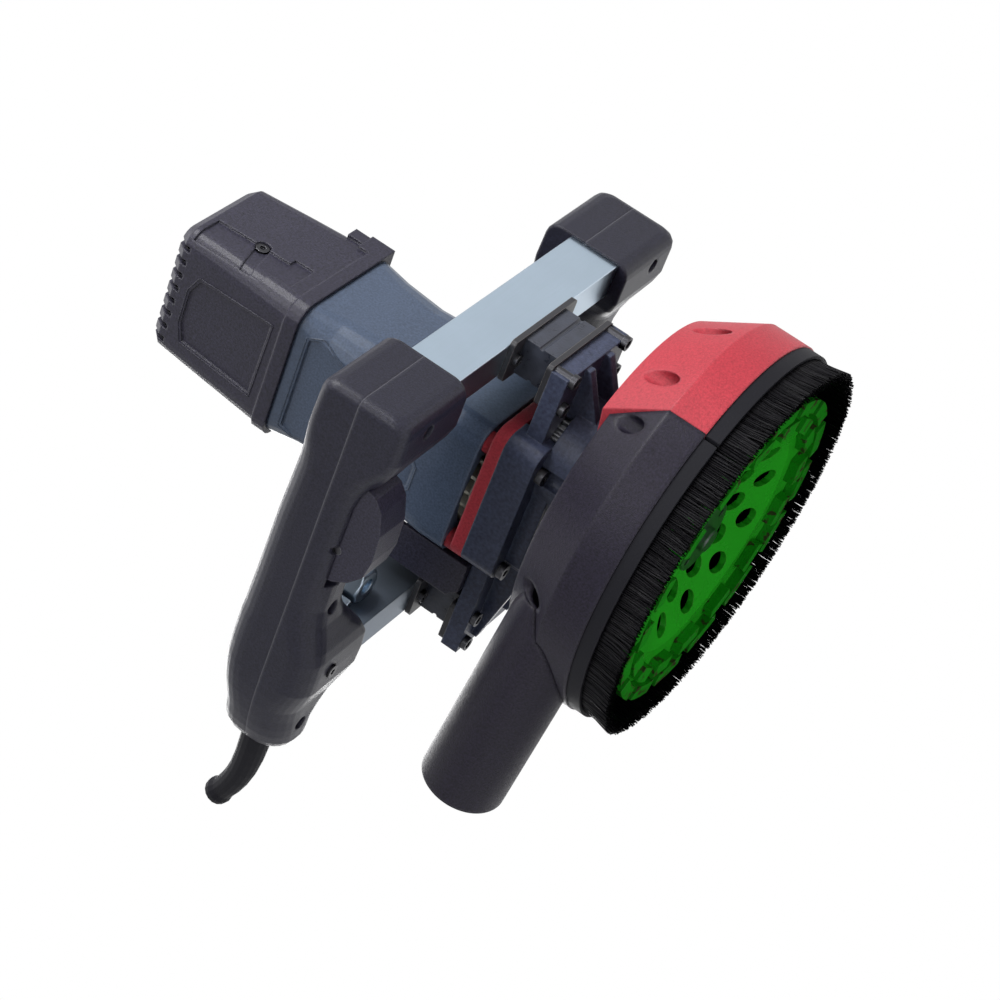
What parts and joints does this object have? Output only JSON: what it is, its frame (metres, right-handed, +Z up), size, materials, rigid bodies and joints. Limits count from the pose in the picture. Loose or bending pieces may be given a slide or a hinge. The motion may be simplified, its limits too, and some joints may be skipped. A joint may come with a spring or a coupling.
{
  "type": "concrete edge grinder",
  "caption": "Two-handed concrete grinder: a motor over a cup wheel, in a dust hood with a brush rim and a removable edge segment, on a damped steel handle frame.",
  "frame": {"origin": "on the spindle axis, in the plane of the bristle tips, which is the floor that the tool works on", "axes": "+Z up the spindle axis to the motor, +Y away from the operator, +X to the switch handle; the motor stands behind the spindle, towards -Y"},
  "size_m": [0.2716, 0.3534, 0.3313],
  "materials": {
    "green_paint": "glossy green paint on pressed steel",
    "diamond_segment": "sintered diamond segments under worn green paint",
    "steel": "machined steel",
    "screw_steel": "dark socket screws",
    "hood_plastic": "fine textured black moulding",
    "red_plastic": "fine textured red moulding",
    "bristle": "black nylon bristles",
    "casting_paint": "dark blue-grey painted casting",
    "motor_plastic": "satin blue-grey moulding",
    "laminated_steel": "stacked laminations",
    "copper": "enamelled copper windings",
    "fan_plastic": "pale moulded fan",
    "brass": "stamped brass",
    "carbon": "pressed carbon",
    "black_plastic": "fine textured black moulding",
    "black_rubber": "moulded rubber",
    "zinc_steel": "bright bluish zinc plate",
    "white_plastic": "natural nylon"
  },
  "bodies": {
    "tool": {"spindle_bearings": "steel", "shaft_seal": "black_rubber", "main_hood": "hood_plastic", "dust_port": "hood_plastic", "hood_segment": "red_plastic", "hood_screws": "screw_steel", "neck_screws": "steel", "main_brush_band": "black_rubber", "segment_brush_band": "black_rubber", "main_bristles_1": "bristle", "main_bristles_2": "bristle", "main_bristles_3": "bristle", "main_bristles_4": "bristle", "main_bristles_5": "bristle", "main_bristles_6": "bristle", "main_bristles_7": "bristle", "segment_bristles_1": "bristle", "segment_bristles_2": "bristle", "gear_housing": "casting_paint", "gear_case_screws": "screw_steel", "fan_flange": "red_plastic", "motor_housing": "motor_plastic", "stator_core": "laminated_steel", "field_coils": "copper", "armature_bearings": "steel", "brush_holders": "brass", "carbon_brushes": "carbon", "end_cover": "black_plastic", "cover_screw": "screw_steel", "air_guide": "black_plastic", "front_damper": "black_rubber", "rear_damper": "black_rubber", "damper_plates": "casting_paint", "damper_screws": "screw_steel", "front_bar": "zinc_steel", "rear_bar": "zinc_steel", "weld_nut": "zinc_steel", "switch_handle_top": "black_plastic", "switch_handle_bottom": "black_plastic", "plain_handle_top": "black_plastic", "plain_handle_bottom": "black_plastic", "handle_screws": "screw_steel", "trigger_pin": "steel", "switch_block": "carbon", "plunger_spring": "steel", "bend_sleeve": "black_rubber"},
    "spindle": {"wheel_plate": "green_paint", "outer_segments": "diamond_segment", "inner_segments": "diamond_segment", "lock_nut": "steel", "seat_flange": "steel", "spindle": "steel", "spindle_gear": "steel"},
    "armature": {"armature_shaft": "steel", "armature_core": "copper", "commutator": "copper", "motor_fan": "fan_plastic", "pinion": "steel"},
    "trigger": {"trigger": "black_plastic"},
    "plunger": {"switch_plunger": "white_plastic"}
  },
  "joints": [
    {"name": "spindle_spin", "type": "hinge", "parent": "tool", "child": "spindle", "pos_m": [0, 0, 0.05], "axis": [0, 0, 1], "continuous": true},
    {"name": "armature_spin", "type": "hinge", "parent": "tool", "child": "armature", "pos_m": [0, -0.0325, 0.2], "axis": [0, 0, 1], "continuous": true},
    {"name": "trigger_pull", "type": "hinge", "parent": "tool", "child": "trigger", "pos_m": [0.1173, -0.033, 0.1495], "axis": [1, 0, 0], "range_deg": [0, 8], "stiffness_Nm_per_rad": 1.5, "springref_deg": -14.32},
    {"name": "plunger_slide", "type": "slide", "parent": "tool", "child": "plunger", "axis": [0, 0, 1], "range_m": [0, 0.0043], "deforming": ["plunger_spring"]}
  ],
  "couplings": [
    {"joint": "armature_spin", "follows": "spindle_spin", "ratio": -3.7273},
    {"joint": "plunger_slide", "follows": "trigger_pull", "m_per_rad": 0.03}
  ]
}
